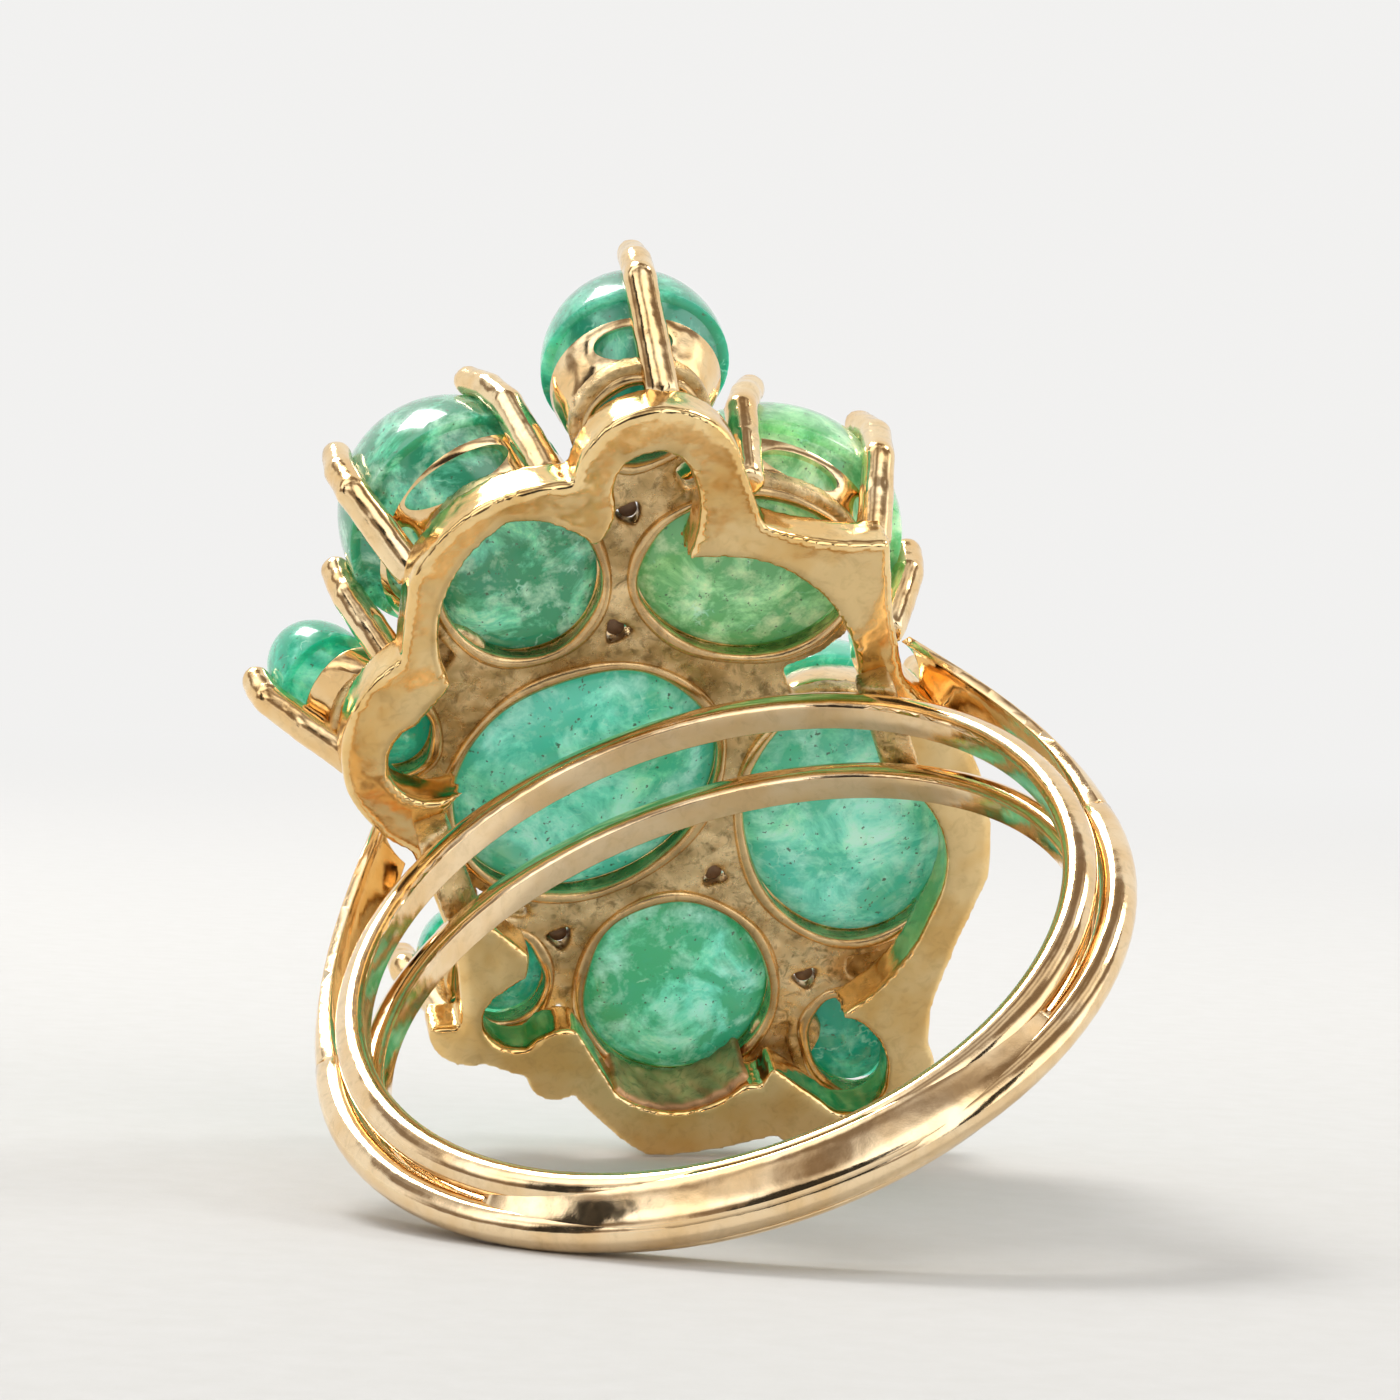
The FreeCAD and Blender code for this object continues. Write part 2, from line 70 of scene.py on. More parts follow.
MOUNT = frame["record"]["mounts"][0]
FINGER = Vector(MOUNT["axis"]).normalized()
CENTRE = Vector(MOUNT["pos_m"])


def middle_of(name):
    """The mean corner of a node's mesh."""
    corners = [v.co for v in NODES[name].data.vertices]
    return sum(corners, Vector()) / len(corners)


ACROSS = middle_of("saddle_right") - middle_of("saddle_left")
ACROSS = (ACROSS - FINGER * ACROSS.dot(FINGER)).normalized()
TO_HEAD = ACROSS.cross(FINGER)


def place(x, y, z):
    """A point of the ring in metres, from millimetres across, along the finger and to the head."""
    return CENTRE + (ACROSS * x + FINGER * y + TO_HEAD * z) * MM


# ---------------------------------------------------------------- node helpers

def material(name):
    """A new node material with its Principled shader."""
    made = bpy.data.materials.new(name)
    made.use_nodes = True
    return made, made.node_tree.nodes["Principled BSDF"]


def node(mat, kind, **settings):
    """Add one shader node; settings are its properties, or inputs by name."""
    made = mat.node_tree.nodes.new(kind)
    for key, value in settings.items():
        if hasattr(made, key):
            setattr(made, key, value)
        else:
            made.inputs[key.replace("_", " ")].default_value = value
    return made


def link(mat, source, target):
    """Join an output socket to an input socket."""
    mat.node_tree.links.new(source, target)


def coordinates(mat):
    """Object coordinates in millimetres."""
    where = node(mat, "ShaderNodeTexCoord")
    scale = node(mat, "ShaderNodeVectorMath", operation="SCALE", Scale=1 / MM)
    link(mat, where.outputs["Object"], scale.inputs[0])
    return scale.outputs[0]


def shifted(mat, where, offset):
    """Coordinates moved by an offset in millimetres."""
    shift = node(mat, "ShaderNodeVectorMath", operation="ADD")
    shift.inputs[1].default_value = offset
    link(mat, where, shift.inputs[0])
    return shift.outputs[0]


def noise_node(mat, where, scale, detail=4.0, roughness=0.55, distortion=0.0):
    """A noise texture whose features are about 1 / scale millimetres across."""
    made = node(mat, "ShaderNodeTexNoise", Scale=scale, Detail=detail,
                Roughness=roughness, Distortion=distortion)
    link(mat, where, made.inputs["Vector"])
    return made


def noise(mat, where, scale, offset=None, **settings):
    """The level of a noise texture, which an offset makes different from the others."""
    if offset:
        where = shifted(mat, where, offset)
    return noise_node(mat, where, scale, **settings).outputs["Fac"]


def ramp(mat, level, stops):
    """A colour ramp through (position, colour) stops."""
    made = node(mat, "ShaderNodeValToRGB")
    elements = made.color_ramp.elements
    while len(elements) < len(stops):
        elements.new(0.5)
    for element, (position, colour) in zip(elements, stops):
        element.position = position
        element.color = (*colour, 1.0)
    link(mat, level, made.inputs["Fac"])
    return made.outputs["Color"]


def spread(mat, value, low, high, to_low=0.0, to_high=1.0, **settings):
    """Map the range from low to high on to another, and hold the ends beyond it."""
    made = node(mat, "ShaderNodeMapRange", **settings)
    ends = {"From Min": low, "From Max": high, "To Min": to_low, "To Max": to_high}
    for name, number in ends.items():
        made.inputs[name].default_value = number
    link(mat, value, made.inputs["Value"])
    return made.outputs["Result"]


def toward_head(mat, where, low, high):
    """0 to 1 between two distances in millimetres from the finger hole's axis to the head."""
    along = node(mat, "ShaderNodeVectorMath", operation="DOT_PRODUCT")
    along.inputs[1].default_value = TO_HEAD
    link(mat, where, along.inputs[0])
    start = CENTRE.dot(TO_HEAD) / MM
    return spread(mat, along.outputs["Value"], start + low, start + high)


def math_of(mat, operation, first, second):
    """A sum or product of two sockets."""
    made = node(mat, "ShaderNodeMath", operation=operation)
    link(mat, first, made.inputs[0])
    link(mat, second, made.inputs[1])
    return made.outputs[0]


def mix(mat, share, first, second, blend="MIX"):
    """Blend two colours; share, first and second are sockets or values."""
    made = node(mat, "ShaderNodeMix", data_type="RGBA", blend_type=blend)
    for index, value in ((0, share), (6, first), (7, second)):
        socket = made.inputs[index]
        if isinstance(value, bpy.types.NodeSocket):
            link(mat, value, socket)
        elif isinstance(value, tuple):
            socket.default_value = (*value, 1.0)
        else:
            socket.default_value = value
    return made.outputs[2]


def bump(mat, height, strength, distance, onto=None):
    """A bump node; distance is in millimetres."""
    made = node(mat, "ShaderNodeBump", Strength=strength, Distance=distance * MM)
    link(mat, height, made.inputs["Height"])
    if onto is not None:
        link(mat, onto, made.inputs["Normal"])
    return made.outputs["Normal"]


# ---------------------------------------------------------------- gold

PLATE_LEVEL = (10.8, 11.3)  # millimetres from the hole's axis: the plate's front, and past it
TARNISH_SHADE = 0.55  # of the deep colour


def gold(name, bright, deep, smooth, rough, wave, grain, patina, above=None):
    """Yellow gold: colour variation, tarnish, wear, soft waves of hand finishing and scratches.

    smooth and rough are the ends of its roughness, wave and grain are bump strengths, patina is
    how far the tarnish covers it, and above is the colour it has on the head's side of the plate.
    """
    mat, shader = material(name)
    where = coordinates(mat)
    tone = noise(mat, where, scale=0.55, detail=3.0)
    film = noise(mat, where, scale=2.6, offset=(7.0, 3.0, 1.0),
                 detail=6.0, roughness=0.65, distortion=0.8)
    wear = noise(mat, where, scale=3.4, offset=(1.0, 9.0, 4.0), detail=5.0, roughness=0.6)
    hand = noise(mat, where, scale=0.9, offset=(3.0, 2.0, 8.0), detail=2.0, roughness=0.5)
    scratches = noise(mat, where, scale=14.0, detail=6.0, roughness=0.7)

    colour = ramp(mat, tone, [(0.38, deep), (0.58, bright)])
    tarnish = spread(mat, film, low=0.50, high=0.66, to_high=patina)
    colour = mix(mat, tarnish, colour, tuple(TARNISH_SHADE * channel for channel in deep))
    if above:
        colour = mix(mat, toward_head(mat, where, *PLATE_LEVEL), colour, above)
    link(mat, colour, shader.inputs["Base Color"])
    roughness = spread(mat, wear, low=0.3, high=0.75, to_low=smooth, to_high=rough)
    link(mat, roughness, shader.inputs["Roughness"])
    normal = bump(mat, hand, strength=wave, distance=0.35)
    normal = bump(mat, scratches, strength=grain, distance=0.02, onto=normal)
    link(mat, normal, shader.inputs["Normal"])
    shader.inputs["Metallic"].default_value = 1.0
    return mat


POLISHED = gold("gold_polished", bright=(1.0, 0.78, 0.47), deep=(0.93, 0.62, 0.29),
                smooth=0.05, rough=0.16, wave=0.14, grain=0.10, patina=0.30)
RAIL = gold("gold_rail", bright=(1.0, 0.74, 0.37), deep=(0.90, 0.58, 0.22),
            smooth=0.05, rough=0.17, wave=0.16, grain=0.10, patina=0.26)
WIRE = gold("gold_wire", bright=(0.99, 0.77, 0.49), deep=(0.92, 0.65, 0.35),
            smooth=0.05, rough=0.14, wave=0.07, grain=0.06, patina=0.22)
CAST = gold("gold_cast", bright=(1.0, 0.77, 0.44), deep=(0.52, 0.36, 0.16),
            smooth=0.20, rough=0.42, wave=0.90, grain=1.0, patina=0.85)
RIM = gold("gold_rim", bright=(0.86, 0.62, 0.32), deep=(0.62, 0.42, 0.20),
           smooth=0.12, rough=0.30, wave=0.20, grain=0.30, patina=0.50)
FILED = gold("gold_filed", bright=(0.88, 0.54, 0.30), deep=(0.46, 0.26, 0.13),
             smooth=0.40, rough=0.60, wave=0.40, grain=0.90, patina=0.60)
# Painted shade: near-black gold below the plate's front, in the gallery, and plain gold above it.
GOLD_PAINTED_SHADE = gold("gold_painted_shade", bright=(0.30, 0.19, 0.12), deep=(0.16, 0.10, 0.07),
            smooth=0.35, rough=0.55, wave=0.40, grain=0.50, patina=0.50,
            above=(0.95, 0.70, 0.38))


# ---------------------------------------------------------------- stones

# The pale, middle and deep green of the stones that show most, and then of the others.
GREENS = {
    "cabochon_top": ((0.30, 0.80, 0.60), (0.08, 0.52, 0.36), (0.02, 0.28, 0.18)),
    "cabochon_upper_right": ((0.66, 0.95, 0.72), (0.16, 0.66, 0.46), (0.03, 0.27, 0.15)),
    "cabochon_upper_left": ((0.84, 0.97, 0.60), (0.36, 0.74, 0.38), (0.12, 0.42, 0.16)),
    "cabochon_centre_right": ((0.48, 0.92, 0.76), (0.20, 0.76, 0.58), (0.07, 0.52, 0.37)),
    "cabochon_centre_left": ((0.52, 0.93, 0.78), (0.22, 0.77, 0.60), (0.08, 0.54, 0.39)),
    "cabochon_bottom": ((0.52, 0.95, 0.80), (0.17, 0.74, 0.55), (0.05, 0.44, 0.24)),
}
OTHER_GREENS = ((0.28, 0.82, 0.64), (0.05, 0.60, 0.42), (0.01, 0.36, 0.23))
LEAF_GREEN = (1.0, 0.92, 0.62)
THREAD_GREEN = (0.50, 0.85, 0.70)
SPECK = (0.05, 0.09, 0.05)
# Painted shade: the stones' colour and glow are multiplied by this towards the tops of the domes.
DOME_PAINTED_SHADE = (0.42, 0.74, 0.68)

# Painted glow: the strength of the stones' emission, in their own colour.
STONE_PAINTED_GLOW = 0.28
STONE_IOR = 1.57
SCATTER_RADIUS = (0.35, 1.0, 0.75)
SCATTER_MM = 2.2
# The painted dome shade comes in over these heights.
DOME_LEVEL = (11.3, 13.8)  # millimetres from the hole's axis, from the plate up into the domes
RADIUS_PARTS = 3.6  # a stone's working radius is its box's diagonal over this


def painted_edge_shade(mat, where, node_name):
    """Painted shade: lifts the clouds' level in the middle of a stone and lowers it towards the
    edge.
    """
    low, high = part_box(node_name)
    centre, radius = (low + high) / 2 / MM, (high - low).length / RADIUS_PARTS / MM
    from_centre = node(mat, "ShaderNodeVectorMath", operation="DISTANCE")
    from_centre.inputs[1].default_value = centre
    link(mat, where, from_centre.inputs[0])
    return spread(mat, from_centre.outputs["Value"], low=0.45 * radius, high=1.05 * radius,
                  to_low=0.10, to_high=-0.12)


def fracture_threads(mat, where, seed):
    """Thin broken lines along the edges of warped cells."""
    warp = noise_node(mat, where, scale=1.6, detail=5.0, roughness=0.5)
    bend = node(mat, "ShaderNodeVectorMath", operation="ADD")
    link(mat, where, bend.inputs[0])
    link(mat, warp.outputs["Color"], bend.inputs[1])
    cells = node(mat, "ShaderNodeTexVoronoi", feature="DISTANCE_TO_EDGE", Scale=0.6)
    link(mat, bend.outputs[0], cells.inputs["Vector"])
    thread = spread(mat, cells.outputs["Distance"], low=0.0, high=0.02, to_low=0.5, to_high=0.0)
    gaps = noise(mat, where, scale=1.5, offset=(seed[2], seed[0], seed[1]), roughness=0.6)
    return math_of(mat, "MULTIPLY", thread, spread(mat, gaps, low=0.54, high=0.64))


def stone(name, node_name, seed):
    """Clouded green stone: clouds, threads of fracture and dark specks under a gloss.

    The emission is a painted glow that stands in for the daylight coming through from the dome's
    side.
    """
    mat, shader = material(name)
    where = coordinates(mat)
    pale, middle, deep = GREENS.get(node_name, OTHER_GREENS)
    clouds = noise(mat, where, scale=0.55, offset=seed, detail=7.0, roughness=0.66, distortion=0.5)
    drift = noise(mat, where, scale=0.30, offset=(seed[2], seed[1], seed[0]),
                  detail=3.0, roughness=0.5, distortion=0.8)
    haze = noise(mat, where, scale=1.2, offset=(seed[1], seed[2], seed[0]),
                 detail=9.0, roughness=0.62, distortion=0.3)
    moss = noise(mat, where, scale=1.3, offset=(seed[2], seed[0], 5.0),
                 detail=5.0, roughness=0.7, distortion=0.8)
    specks = noise(mat, where, scale=6.0, offset=(4.0, seed[0], 2.0), detail=3.0, roughness=0.6)
    pits = noise(mat, where, scale=3.0, roughness=0.6)

    # The clouds, with the painted shade towards each stone's edge.
    level = math_of(mat, "ADD", clouds, painted_edge_shade(mat, where, node_name))
    colour = ramp(mat, level, [(0.40, deep), (0.50, middle), (0.62, pale)])
    colour = mix(mat, spread(mat, drift, 0.42, 0.60, to_high=0.55), colour, LEAF_GREEN, "MULTIPLY")
    colour = mix(mat, spread(mat, haze, 0.50, 0.72, to_high=0.75), colour, pale)
    colour = mix(mat, spread(mat, moss, 0.56, 0.70, to_high=0.5), colour, deep)
    colour = mix(mat, fracture_threads(mat, where, seed), colour, THREAD_GREEN)
    colour = mix(mat, spread(mat, specks, 0.65, 0.69, to_high=0.85), colour, SPECK)
    # Painted shade, darker towards the tops of the domes.
    colour = mix(mat, toward_head(mat, where, *DOME_LEVEL), colour, DOME_PAINTED_SHADE, "MULTIPLY")
    link(mat, colour, shader.inputs["Base Color"])
    # Painted glow: the stone's colour is also its emission.
    link(mat, colour, shader.inputs["Emission Color"])
    link(mat, bump(mat, pits, strength=0.10, distance=0.05), shader.inputs["Normal"])
    constants = {
        "Emission Strength": STONE_PAINTED_GLOW,
        "Roughness": 0.22,
        "IOR": STONE_IOR,
        "Subsurface Weight": 0.9,
        "Subsurface Radius": SCATTER_RADIUS,
        "Subsurface Scale": SCATTER_MM * MM,
        "Coat Weight": 0.8,
        "Coat Roughness": 0.03,
    }
    for socket, value in constants.items():
        shader.inputs[socket].default_value = value
    return mat


# ---------------------------------------------------------------- CAD nodes

WELD_REACH = 0.002  # millimetres
VOXEL = 0.1  # millimetres
SHARP_ANGLE = 38  # degrees


def smooth_shade(mesh, mat):
    """Give a mesh one material and smooth shading."""
    mesh.materials.clear()
    mesh.materials.append(mat)
    mesh.polygons.foreach_set("use_smooth", [True] * len(mesh.polygons))


def dress(name, mat):
    """Give a CAD node its material."""
    thing = NODES[name]
    smooth_shade(thing.data, mat)
    return thing


def modify(thing, name, kind, **settings):
    """Add a modifier with its settings."""
    made = thing.modifiers.new(name, kind)
    for key, value in settings.items():
        setattr(made, key, value)


def weld(thing):
    """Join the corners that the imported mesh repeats."""
    modify(thing, "weld", "WELD", merge_threshold=WELD_REACH * MM)


def soften(thing, rounds):
    """Round every edge of a cast piece: a fine voxel skin, smoothed."""
    weld(thing)
    modify(thing, "skin", "REMESH", mode="VOXEL", voxel_size=VOXEL * MM, use_smooth_shade=True)
    modify(thing, "ease", "SMOOTH", factor=0.5, iterations=rounds)


def crisp(thing, width):
    """Keep a piece as it is, with a narrow round along its sharp edges."""
    weld(thing)
    modify(thing, "edge", "BEVEL", width=width * MM, segments=2, limit_method="ANGLE",
           angle_limit=math.radians(SHARP_ANGLE), use_clamp_overlap=True)
    modify(thing, "normals", "WEIGHTED_NORMAL", keep_sharp=False, weight=60)


def swell(thing, amount, lumps, lump_size):
    """Puff a piece out by an amount, and more here and there, as hand work does."""
    modify(thing, "swell", "DISPLACE", strength=amount * MM, mid_level=0.0)
    texture = bpy.data.textures.new("lumps", "CLOUDS")
    texture.noise_scale = lump_size * MM
    texture.noise_depth = 1
    modify(thing, "wobble", "DISPLACE", texture=texture, texture_coords="GLOBAL",
           strength=lumps * MM, mid_level=0.5)


def thicken(thing, thickness):
    """Give a sheet its thickness, half to each side."""
    modify(thing, "thick", "SOLIDIFY", thickness=thickness * MM, offset=0.0)


for number, name in enumerate(STONES):
    seed = (1.7 * len(name), 0.9 * number, 3.1)  # its own place in the noise
    mat = stone("stone_" + name.removeprefix("cabochon_"), name, seed)
    crisp(dress(name, mat), width=0.10)
for name in COLLETS:
    crisp(dress(name, POLISHED), width=0.04)
for name in PRONGS:
    soften(dress(name, POLISHED), rounds=12)
    swell(NODES[name], amount=0.06, lumps=0.04, lump_size=1.1)
# The inner prongs get the gold with painted shade below the plate's front.
for name in INNER_PRONGS:
    crisp(dress(name, GOLD_PAINTED_SHADE), width=0.03)
for name in SHANK:
    crisp(dress(name, WIRE), width=0.06)
for name in SADDLES:
    soften(dress(name, CAST), rounds=6)
soften(dress("web_plate", CAST), rounds=4)
soften(dress("gallery_rail", RAIL), rounds=7)
swell(NODES["gallery_rail"], amount=0.03, lumps=0.08, lump_size=1.6)


# ---------------------------------------------------------------- hand-made details

# The ring's own measures are in millimetres, in the frame of its finger hole.
RAIL_BACK = 8.5
PLATE_BACK = 10.2

# Each opening of the plate: its centre across and along the finger, its half length, its half
# width, and its turn in degrees.
OPENINGS = {
    "top": (-2.35, 9.37, 1.32, 1.12, 0),
    "upper_right": (1.79, 6.21, 2.36, 2.08, 90),
    "upper_left": (-3.67, 4.20, 2.84, 2.30, 30),
    "centre_right": (1.91, -0.13, 3.66, 3.18, 161),
    "centre_left": (-4.16, -3.90, 3.70, 2.70, 90),
    "bottom": (1.43, -7.16, 2.84, 2.53, 90),
    "side_right": (6.17, 3.07, 1.26, 1.07, 90),
    "lower_right": (5.70, -5.03, 1.42, 1.21, 90),
    "lower_left": (-2.50, -10.56, 1.62, 1.12, 90),
}

# Each web between openings: its centre across and along the finger, and its radius.
WEBS = {
    "web_right": (4.20, 4.58, 0.95),
    "web_low": (-0.90, -9.95, 0.95),
    "web_left_low": (-3.59, -8.75, 1.10),
}


def piece(name, mesh, mat):
    """A piece of the ring that Blender adds."""
    smooth_shade(mesh, mat)
    made = bpy.data.objects.new(name, mesh)
    bpy.context.scene.collection.objects.link(made)
    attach(made, "root")
    return made


def mesh_from(work, name):
    """A mesh from finished bmesh work."""
    mesh = bpy.data.meshes.new(name)
    work.to_mesh(mesh)
    work.free()
    return mesh


def quads(work, lines):
    """Fill the faces between neighbouring lines of corners."""
    for near, far in zip(lines, lines[1:]):
        for first, second, third, fourth in zip(near, far, far[1:], near[1:]):
            work.faces.new((first, second, third, fourth))


def closed_wire(name, points, radii, mat):
    """A smooth round wire through a loop of control points, each with its radius in mm."""
    curve = bpy.data.curves.new(name, "CURVE")
    curve.dimensions = "3D"
    curve.bevel_depth = MM
    curve.bevel_resolution = 4
    curve.resolution_u = 6
    line = curve.splines.new("NURBS")
    line.points.add(len(points) - 1)
    for control, point, radius in zip(line.points, points, radii):
        control.co = (*point, 1.0)
        control.radius = radius
    line.order_u = 4
    line.use_cyclic_u = True
    holder = bpy.data.objects.new("holder", curve)
    mesh = bpy.data.meshes.new_from_object(holder)
    mesh.name = name
    bpy.data.objects.remove(holder)
    bpy.data.curves.remove(curve)
    return piece(name, mesh, mat)


def rolled_rim(stone_name, x, y, half_length, half_width, turn):
    """The thin rolled edge round the back of a stone's opening, a little uneven."""
    steps, outside, rise, thickness = 36, 0.10, 0.03, 0.17
    turn = math.radians(turn)
    points, radii = [], []
    for step in range(steps):
        angle = math.tau * step / steps
        slow, fast = 0.03 * math.sin(3 * angle + x), 0.02 * math.sin(7 * angle + y)
        waver = slow + fast
        along = (half_length + outside + waver) * math.cos(angle)
        aside = (half_width + outside + waver) * math.sin(angle)
        points.append(place(x + along * math.cos(turn) - aside * math.sin(turn),
                            y + along * math.sin(turn) + aside * math.cos(turn),
                            PLATE_BACK + rise + 0.5 * waver))
        radii.append(thickness + 0.03 * math.sin(5 * angle + x + y))
    closed_wire(f"rim_{stone_name}", points, radii, RIM)


def filed_wall():
    """The inner wall of the gallery rail behind the bottom stone, rough from the file."""
    columns, rows = 40, 8
    middle_x, middle_y, reach_x, reach_y = 1.75, -7.95, 2.15, 1.90
    start, sweep = -18, -112
    lift, lean, narrowing = 0.12, 0.12, 0.02
    work = bmesh.new()
    lines = []
    for column in range(columns + 1):
        share = column / columns
        angle = math.radians(start + sweep * share)
        x, y = middle_x + reach_x * math.cos(angle), middle_y + reach_y * math.sin(angle)
        line = []
        for row in range(rows + 1):
            rise = row / rows
            coarse_marks = 0.035 * math.sin(43 * share + 9 * rise)
            fine_marks = 0.02 * math.sin(97 * share - 14 * rise)
            level = RAIL_BACK + lift + (PLATE_BACK - RAIL_BACK) * rise
            spot = place(x * (1 - narrowing * rise),
                         y + lean * rise + (coarse_marks + fine_marks), level)
            line.append(work.verts.new(spot))
        lines.append(line)
    quads(work, lines)
    made = piece("filed_wall", mesh_from(work, "filed_wall"), FILED)
    thicken(made, 0.28)
    modify(made, "fine", "SUBSURF", levels=1, render_levels=1)


def groove_fill(name, side):
    """Solder in the groove between two wires at the palm: a smooth band, sunk at its ends."""
    long_steps, cross_steps = 64, 10
    hoop_wire, middle_wire = Vector((9.07, side * 0.50)), Vector((9.85, 0.0))
    half_width, sunk, fullness, roundness = 0.60, 0.17, 0.305, 0.10
    palm, sweep = -90, 92
    run = (middle_wire - hoop_wire).normalized()
    away = Vector((run.y, -run.x)) * -side
    work = bmesh.new()
    lines = []
    for step in range(long_steps + 1):
        share = step / long_steps
        angle = math.radians(palm + sweep * (share - 0.5))
        full = math.sin(math.pi * share) ** 0.5
        line = []
        for cross in range(cross_steps + 1):
            offset = 2 * cross / cross_steps - 1
            height = sunk + fullness * full - roundness * offset ** 4
            spot = (hoop_wire + middle_wire) / 2 + run * (half_width * offset) + away * height
            line.append(work.verts.new(place(spot.x * math.cos(angle), spot.y,
                                             spot.x * math.sin(angle))))
        lines.append(line)
    quads(work, lines)
    bmesh.ops.recalc_face_normals(work, faces=work.faces)
    thicken(piece(name, mesh_from(work, name), WIRE), 0.16)


def web_fill(name, x, y, reach):
    """A thin dished web between openings, set in from the plate's back."""
    rings, steps = 4, 20
    inset, dish, unevenness = 0.50, 0.20, 0.08
    work = bmesh.new()
    hub = work.verts.new(place(x, y, PLATE_BACK + inset))
    last = None
    for ring in range(1, rings + 1):
        share = ring / rings
        line = []
        for step in range(steps):
            angle = math.tau * step / steps
            radius = reach * share * (1 + unevenness * math.sin(3 * angle + x))
            line.append(work.verts.new(place(x + radius * math.cos(angle),
                                             y + radius * math.sin(angle),
                                             PLATE_BACK + inset - dish * share ** 2)))
        for step in range(steps):
            following = (step + 1) % steps
            if last is None:
                work.faces.new((hub, line[step], line[following]))
            else:
                work.faces.new((last[step], line[step], line[following], last[following]))
        last = line
    thicken(piece(name, mesh_from(work, name), CAST), 0.25)


for stone_name, row in OPENINGS.items():
    rolled_rim(stone_name, *row)
filed_wall()
for web_name, row in WEBS.items():
    web_fill(web_name, *row)
groove_fill("groove_fill_front", 1)
groove_fill("groove_fill_back", -1)


# ---------------------------------------------------------------- the studio

# The studio's places and sizes are in metres.
AIM = (0.0, 0.0, 0.012)  # the middle of the ring as it lies
PAPER_GLOW = (0.885, 0.88, 0.87)
BACKDROP = (0.74, 0.735, 0.725)
CARD_BLACK = (0.02, 0.018, 0.016)


def stage_object(name, mesh, mat):
    """A thing of the studio, which isn't part of the ring."""
    mesh.materials.append(mat)
    made = bpy.data.objects.new(name, mesh)
    bpy.context.scene.collection.objects.link(made)
    return made


def paper():
    """Pale paper, which turns into an even glow away from the ring."""
    mat, shader = material("paper")
    where = coordinates(mat)
    fibres = ramp(mat, noise(mat, where, scale=0.9, detail=5.0),
                  [(0.3, (0.605, 0.605, 0.59)), (0.7, (0.63, 0.63, 0.62))])
    link(mat, fibres, shader.inputs["Base Color"])
    tooth = noise(mat, where, scale=2.2, detail=6.0, roughness=0.7)
    link(mat, bump(mat, tooth, strength=0.25, distance=0.08), shader.inputs["Normal"])
    shader.inputs["Roughness"].default_value = 0.75
    away = node(mat, "ShaderNodeVectorMath", operation="LENGTH")
    link(mat, where, away.inputs[0])
    share = spread(mat, away.outputs["Value"], low=30.0, high=260.0,
                   interpolation_type="SMOOTHSTEP")
    shine = node(mat, "ShaderNodeEmission", Color=(*PAPER_GLOW, 1.0), Strength=1.0)
    both = node(mat, "ShaderNodeMixShader")
    link(mat, share, both.inputs[0])
    link(mat, shader.outputs["BSDF"], both.inputs[1])
    link(mat, shine.outputs["Emission"], both.inputs[2])
    link(mat, both.outputs[0], mat.node_tree.nodes["Material Output"].inputs["Surface"])
    return mat


def studio_floor():
    """A pale sweep: the table, curving up into the backdrop."""
    near, far, half, height, bend, steps = -3.0, 0.40, 3.0, 0.90, 0.12, 12
    profile = [(near, 0.0), (far - bend, 0.0)]
    for step in range(1, steps + 1):
        turn = math.radians(90 * step / steps)
        profile.append((far - bend + bend * math.sin(turn), bend - bend * math.cos(turn)))
    profile.append((far, height))
    work = bmesh.new()
    quads(work, [[work.verts.new((side, y, z)) for side in (half, -half)] for y, z in profile])
    for face in work.faces:
        face.smooth = True
    stage_object("floor", mesh_from(work, "floor"), paper())


def aimed(thing, spot, axis):
    """Put a thing at a place with one of its axes towards the ring."""
    thing.location = spot
    thing.rotation_mode = "QUATERNION"
    thing.rotation_quaternion = (Vector(AIM) - Vector(spot)).to_track_quat(axis, "Y")


def area_light(name, spot, side, power, colour=(1.0, 1.0, 1.0)):
    """A square area light aimed at the ring."""
    data = bpy.data.lights.new(name, "AREA")
    data.shape = "RECTANGLE"
    data.size = data.size_y = side
    data.energy = power
    data.color = colour
    made = bpy.data.objects.new(name, data)
    bpy.context.scene.collection.objects.link(made)
    aimed(made, spot, "-Z")


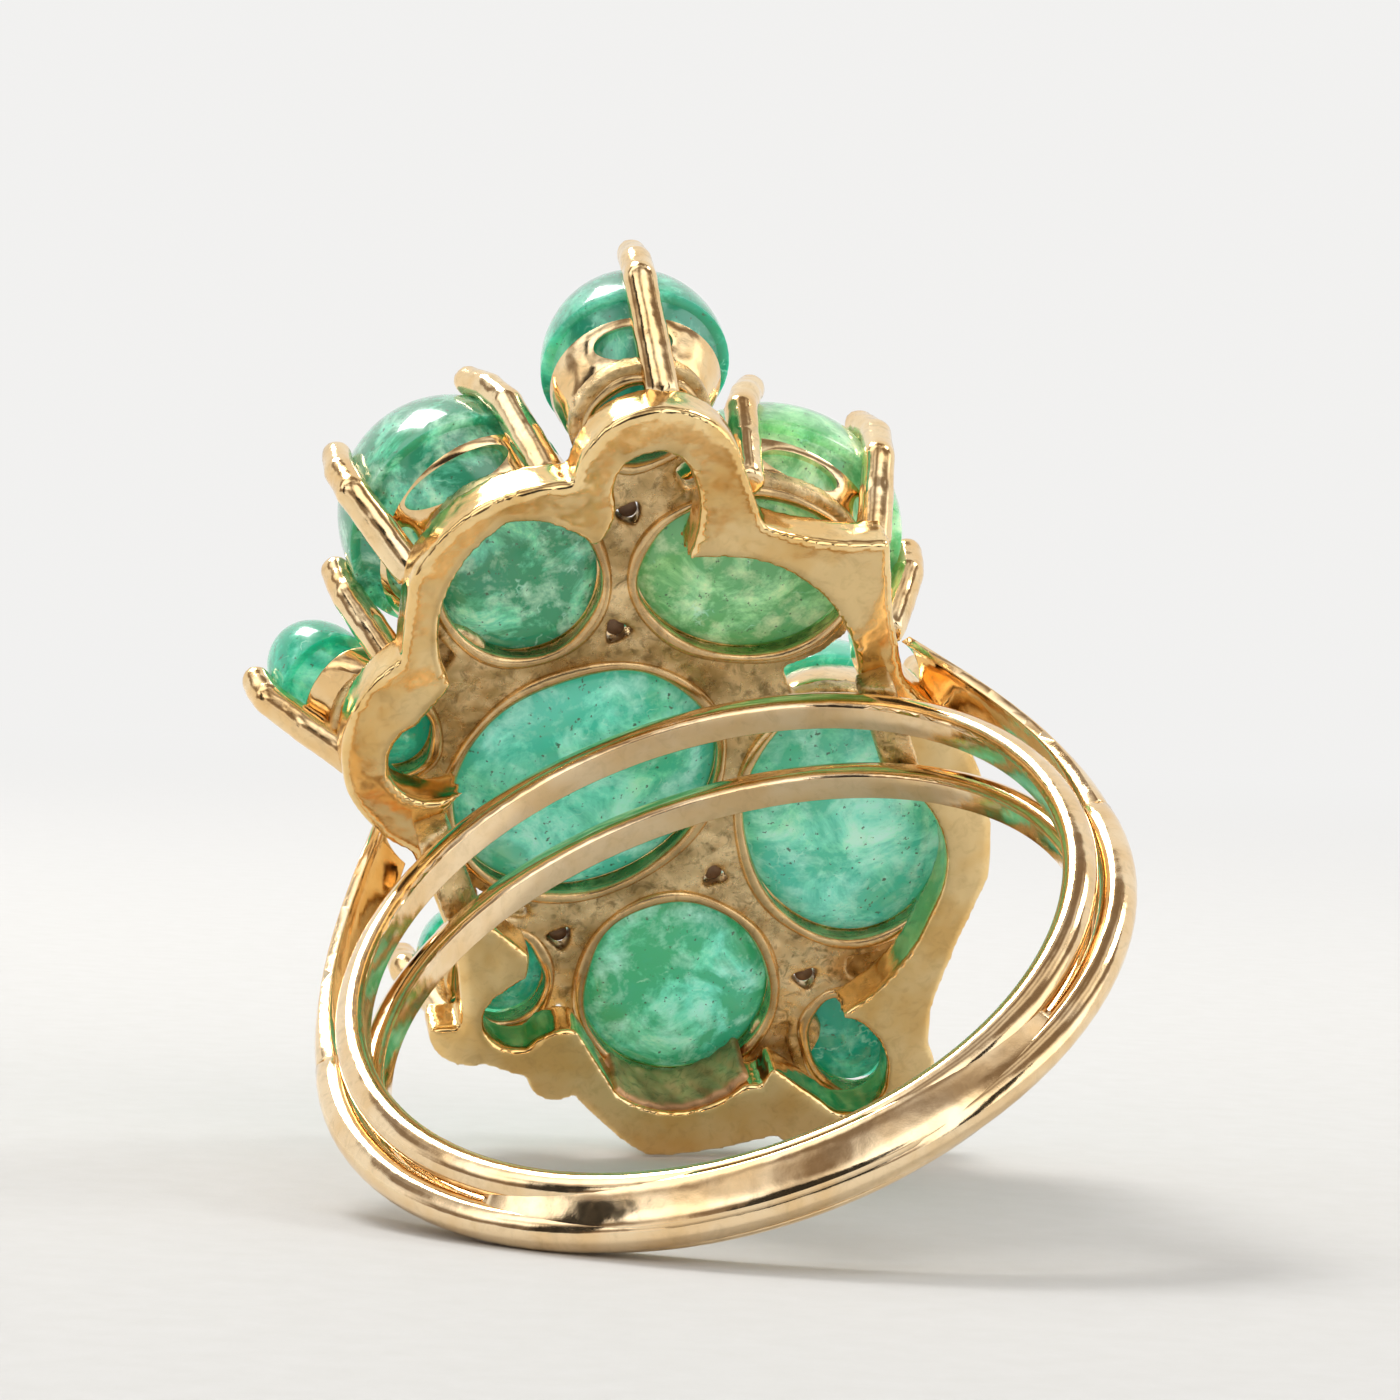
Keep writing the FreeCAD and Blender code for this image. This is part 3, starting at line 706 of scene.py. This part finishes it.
def dark_card(name, spot, width, height):
    """A dark card that only reflections see: the unlit side of the room."""
    work = bmesh.new()
    bmesh.ops.create_grid(work, x_segments=4, y_segments=4, size=0.5)
    bmesh.ops.scale(work, vec=(width, height, 1.0), verts=work.verts)
    mat, shader = material(name)
    shader.inputs["Base Color"].default_value = (*CARD_BLACK, 1.0)
    shader.inputs["Roughness"].default_value = 1.0
    made = stage_object(name, mesh_from(work, name), mat)
    aimed(made, spot, "Z")
    made.visible_camera = False
    made.visible_diffuse = False
    made.visible_shadow = False
    made.visible_transmission = False


def world():
    """Daylight from a room with pale and dark patches; the camera sees an even pale grey."""
    made = bpy.data.worlds.new("studio")
    made.use_nodes = True
    where = node(made, "ShaderNodeTexCoord").outputs["Generated"]
    patches = noise(made, where, scale=1.7, detail=1.0, roughness=0.5)
    room = ramp(made, patches, [(0.40, (0.20, 0.155, 0.12)), (0.58, (1.45, 1.45, 1.45))])
    path = node(made, "ShaderNodeLightPath")
    background = made.node_tree.nodes["Background"]
    background.inputs["Strength"].default_value = 1.20
    link(made, mix(made, path.outputs["Is Camera Ray"], room, BACKDROP), background.inputs["Color"])
    bpy.context.scene.world = made


def camera():
    """The photograph's view of the back of the head, nearly level, from the palm's side."""
    location, pitch, roll = (0.548, -140.321, 17.188), math.radians(-1.929), math.radians(2.280)
    data = bpy.data.cameras.new("camera")
    data.sensor_width = 36.0
    data.lens = 144.0
    data.clip_start = 0.01
    data.clip_end = 5.0
    made = bpy.data.objects.new("camera", data)
    bpy.context.scene.collection.objects.link(made)
    made.location = Vector(location) * MM
    made.rotation_mode = "QUATERNION"
    look = Matrix.Rotation(math.radians(90) + pitch, 3, "X") @ Matrix.Rotation(roll, 3, "Z")
    made.rotation_quaternion = look.to_quaternion()
    bpy.context.scene.camera = made


studio_floor()
world()
area_light("key", (-0.11, 0.13, 0.25), side=0.10, power=0.48, colour=(1.0, 0.985, 0.96))
area_light("second", (0.16, 0.05, 0.22), side=0.07, power=0.12)
dark_card("room", (0.01, -0.20, 0.03), width=0.13, height=0.13)
dark_card("room_left", (-0.17, -0.12, 0.05), width=0.05, height=0.16)
dark_card("room_right", (0.16, -0.14, 0.05), width=0.05, height=0.16)
camera()
bpy.context.scene.view_settings.view_transform = "Standard"
